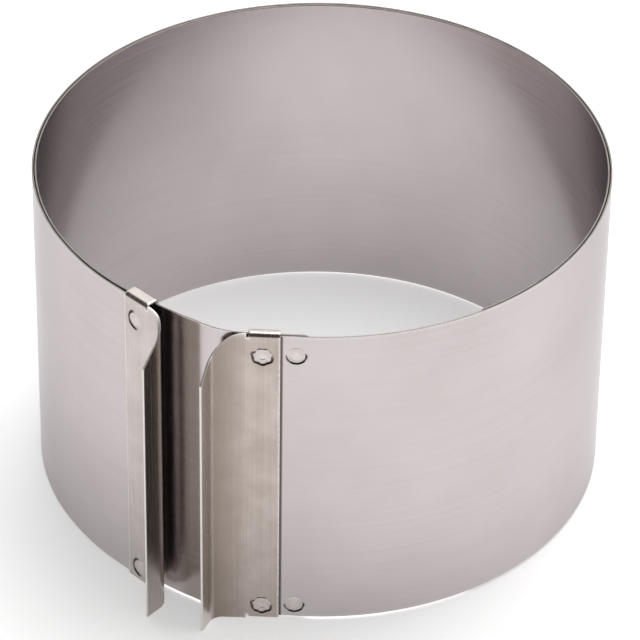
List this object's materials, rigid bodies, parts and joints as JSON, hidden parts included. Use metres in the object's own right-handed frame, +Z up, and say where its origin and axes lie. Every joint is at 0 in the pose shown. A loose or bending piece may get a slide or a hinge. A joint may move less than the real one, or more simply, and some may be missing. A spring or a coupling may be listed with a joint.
{
  "type": "adjustable cake ring",
  "caption": "Adjustable round cake ring: nested steel strips, a fixed handle riveted to both and a sliding handle hooked over the rims of the inner strip.",
  "frame": {"origin": "centre of the object's footprint, on the surface that it stands on; the ring's own axis is 3 mm behind it, because the right handle's lip reaches past the circle in front", "axes": "+Z up along the ring's axis, -Y towards the front, where the two handles are, +X to the right seen from the front"},
  "size_m": [0.166, 0.172, 0.1018],
  "materials": {
    "band_steel": "satin cold-rolled strip",
    "handle_steel": "brushed sheet, grain along its height",
    "rivet_steel": "satin"
  },
  "bodies": {
    "fixed_end": {"inner_band": "band_steel", "right_handle": "handle_steel", "right_rivet_upper": "rivet_steel", "right_rivet_lower": "rivet_steel", "joint_rivet_upper": "rivet_steel", "joint_rivet_lower": "rivet_steel"},
    "outer_strip": {"outer_band": "band_steel"},
    "sliding_end": {"left_handle": "handle_steel", "left_rivet_upper": "rivet_steel", "left_rivet_lower": "rivet_steel"}
  },
  "joints": [
    {"name": "ring_opening", "type": "hinge", "parent": "fixed_end", "child": "outer_strip", "pos_m": [0, 0.00296, 0], "axis": [0, 0, -1], "range_deg": [-4, 72.5], "deforming": ["outer_band"]},
    {"name": "handle_sliding", "type": "hinge", "parent": "outer_strip", "child": "sliding_end", "pos_m": [0, 0.00296, 0], "axis": [0, 0, -1], "range_deg": [-4, 72.5]}
  ],
  "couplings": [
    {"joint": "handle_sliding", "follows": "ring_opening", "ratio": 1}
  ]
}
